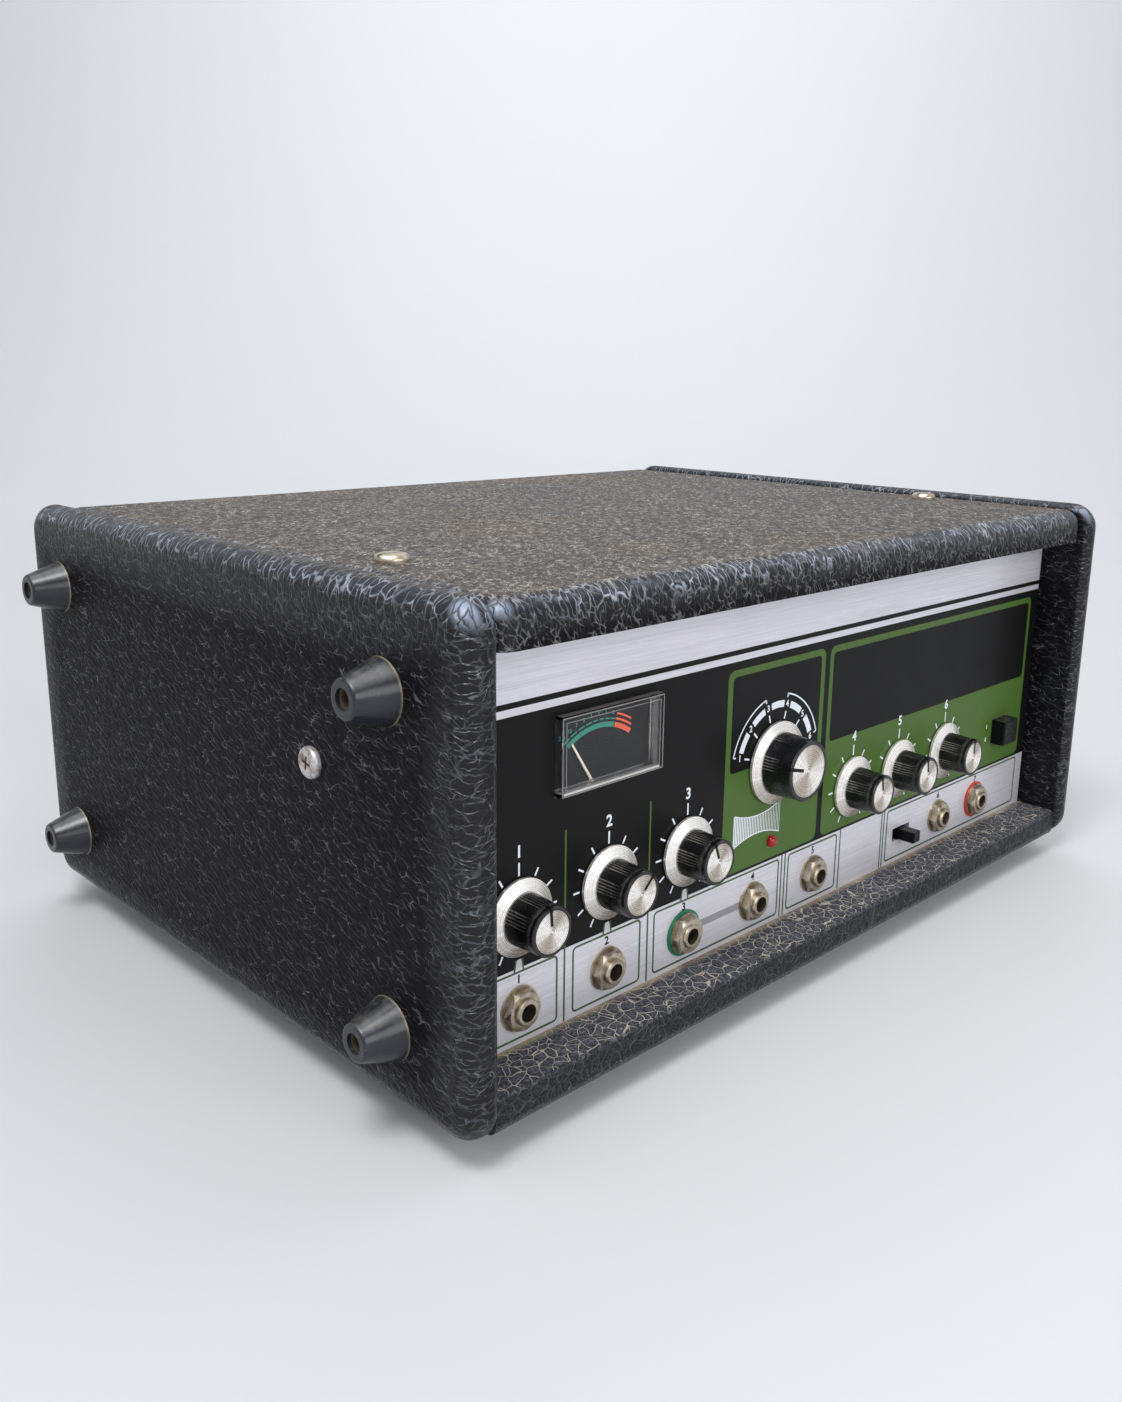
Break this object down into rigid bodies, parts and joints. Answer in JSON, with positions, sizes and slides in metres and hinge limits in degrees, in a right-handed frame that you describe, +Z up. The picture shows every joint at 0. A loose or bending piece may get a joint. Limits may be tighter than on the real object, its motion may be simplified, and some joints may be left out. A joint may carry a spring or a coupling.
{
  "type": "tape echo unit",
  "caption": "Tape echo unit in a black vinyl case with a recessed control panel: fluted knobs, a level meter, phone jacks and a tape transport with capstan and heads under a lift-off lid.",
  "frame": {"origin": "on the floor under the middle of the case, feet included", "axes": "+X to the right seen from the front, +Y to the rear, +Z up"},
  "size_m": [0.44, 0.31, 0.186],
  "materials": {
    "vinyl": "black cracked vinyl cloth",
    "back_black": "matt black",
    "softwood": "plain",
    "foot_rubber": "matt",
    "sleeve_brass": "aged",
    "screw_nickel": "aged nickel",
    "strap": "grained",
    "cap_chrome": "bright",
    "panel_aluminium": "brushed and printed",
    "chassis_steel": "zinc plated",
    "deck_metal": "satin",
    "knob_black": "satin",
    "knob_metal": "spun",
    "control_steel": "plain",
    "button_grey": "satin",
    "switch_black": "matt",
    "lamp_red": "clear red",
    "meter_black": "matt",
    "meter_clear": "clear",
    "needle_paint": "satin",
    "jack_nickel": "aged nickel",
    "ring_green": "satin",
    "ring_red": "satin",
    "ground_steel": "ground",
    "bearing_brass": "plain",
    "motor_paint": "satin",
    "belt_rubber": "matt",
    "roller_rubber": "matt",
    "arm_steel": "plated",
    "head_metal": "polished",
    "tape_brown": "oxide brown",
    "tray_plastic": "satin",
    "cover_clear": "clear",
    "board_brown": "board",
    "parts_mixed": "sleeves",
    "core_iron": "lacquered",
    "inlet_black": "matt"
  },
  "bodies": {
    "case": {"left_side_panel": "vinyl", "right_side_panel": "vinyl", "bottom_panel": "vinyl", "back_panel": "back_black", "lid_battens": "softwood", "side_feet": "foot_rubber", "side_foot_sleeves": "sleeve_brass", "bottom_feet": "foot_rubber", "case_screws": "screw_nickel", "handle_strap": "strap", "handle_end_caps": "cap_chrome", "faceplate": "panel_aluminium", "chassis_front": "chassis_steel", "chassis_tray": "chassis_steel", "deck_plate": "deck_metal", "potentiometers": "control_steel", "mode_switch_body": "control_steel", "switch_bodies": "switch_black", "led_lens": "lamp_red", "meter_housing": "meter_black", "meter_cover": "meter_clear", "jack_bodies": "jack_nickel", "panel_nuts": "jack_nickel", "jack_ring_green": "ring_green", "jack_ring_red": "ring_red", "capstan_bearing": "bearing_brass", "drive_motor": "motor_paint", "drive_belt": "belt_rubber", "tape_heads": "head_metal", "tape_guides": "ground_steel", "tape_loop": "tape_brown", "tape_tray": "tray_plastic", "tape_cover": "cover_clear", "main_board": "board_brown", "board_parts": "parts_mixed", "power_transformer": "core_iron", "inlet_and_fuse": "inlet_black"},
    "lid": {"top_lid": "vinyl", "lid_screws": "screw_nickel"},
    "volume_knob_1": {"volume_knob_1_grip": "knob_black", "volume_knob_1_metal": "knob_metal"},
    "volume_knob_2": {"volume_knob_2_grip": "knob_black", "volume_knob_2_metal": "knob_metal"},
    "volume_knob_3": {"volume_knob_3_grip": "knob_black", "volume_knob_3_metal": "knob_metal"},
    "echo_knob_1": {"echo_knob_1_grip": "knob_black", "echo_knob_1_metal": "knob_metal"},
    "echo_knob_2": {"echo_knob_2_grip": "knob_black", "echo_knob_2_metal": "knob_metal"},
    "echo_knob_3": {"echo_knob_3_grip": "knob_black", "echo_knob_3_metal": "knob_metal"},
    "mode_knob": {"mode_knob_grip": "knob_black", "mode_knob_metal": "knob_metal"},
    "power_button": {"power_button": "button_grey"},
    "slide_lever": {"slide_lever": "switch_black"},
    "meter_needle": {"meter_needle": "needle_paint"},
    "capstan": {"capstan_flywheel": "ground_steel"},
    "motor_shaft": {"motor_pulley": "bearing_brass"},
    "pinch_arm": {"pinch_arm": "arm_steel"},
    "pinch_roller": {"pinch_roller": "roller_rubber"}
  },
  "joints": [
    {"name": "lid_lift", "type": "slide", "parent": "case", "child": "lid", "axis": [0, 0, 1], "range_m": [0, 0.05]},
    {"name": "volume_knob_1_turn", "type": "hinge", "parent": "case", "child": "volume_knob_1", "pos_m": [-0.1657, -0.1315, 0.0711], "axis": [0, 1, 0], "range_deg": [-145, 155]},
    {"name": "volume_knob_2_turn", "type": "hinge", "parent": "case", "child": "volume_knob_2", "pos_m": [-0.1235, -0.1315, 0.0711], "axis": [0, 1, 0], "range_deg": [-195, 105]},
    {"name": "volume_knob_3_turn", "type": "hinge", "parent": "case", "child": "volume_knob_3", "pos_m": [-0.0813, -0.1315, 0.0711], "axis": [0, 1, 0], "range_deg": [-130, 170]},
    {"name": "echo_knob_1_turn", "type": "hinge", "parent": "case", "child": "echo_knob_1", "pos_m": [0.0288, -0.1315, 0.0711], "axis": [0, 1, 0], "range_deg": [-140, 160]},
    {"name": "echo_knob_2_turn", "type": "hinge", "parent": "case", "child": "echo_knob_2", "pos_m": [0.0658, -0.1315, 0.0711], "axis": [0, 1, 0], "range_deg": [-142, 158]},
    {"name": "echo_knob_3_turn", "type": "hinge", "parent": "case", "child": "echo_knob_3", "pos_m": [0.1068, -0.1315, 0.0711], "axis": [0, 1, 0], "range_deg": [-153, 147]},
    {"name": "mode_knob_turn", "type": "hinge", "parent": "case", "child": "mode_knob", "pos_m": [-0.028, -0.1315, 0.0946], "axis": [0, 1, 0], "range_deg": [0, 150]},
    {"name": "power_press", "type": "slide", "parent": "case", "child": "power_button", "axis": [0, 1, 0], "range_m": [0, 0.003], "stiffness_N_per_m": 400},
    {"name": "slide_switch", "type": "slide", "parent": "case", "child": "slide_lever", "axis": [1, 0, 0], "range_m": [-0.004, 0.004]},
    {"name": "needle_swing", "type": "hinge", "parent": "case", "child": "meter_needle", "pos_m": [-0.12455, -0.1265, 0.1026], "axis": [0, 1, 0], "range_deg": [0, 66], "stiffness_Nm_per_rad": 0.0005},
    {"name": "capstan_turn", "type": "hinge", "parent": "case", "child": "capstan", "pos_m": [0.092, -0.0784, 0.142], "axis": [0, 0, 1], "continuous": true},
    {"name": "motor_turn", "type": "hinge", "parent": "case", "child": "motor_shaft", "pos_m": [0.018, -0.037, 0.11], "axis": [0, 0, 1], "continuous": true},
    {"name": "pinch_arm_swing", "type": "hinge", "parent": "case", "child": "pinch_arm", "pos_m": [0.126, -0.0506, 0.15], "axis": [0, 0, -1], "range_deg": [0, 12], "stiffness_Nm_per_rad": 0.2},
    {"name": "pinch_roller_turn", "type": "hinge", "parent": "pinch_arm", "child": "pinch_roller", "pos_m": [0.092, -0.0626, 0.147], "axis": [0, 0, 1], "continuous": true}
  ],
  "couplings": [
    {"joint": "motor_turn", "follows": "capstan_turn", "ratio": 4.25},
    {"joint": "pinch_roller_turn", "follows": "capstan_turn", "ratio": -0.36364}
  ]
}
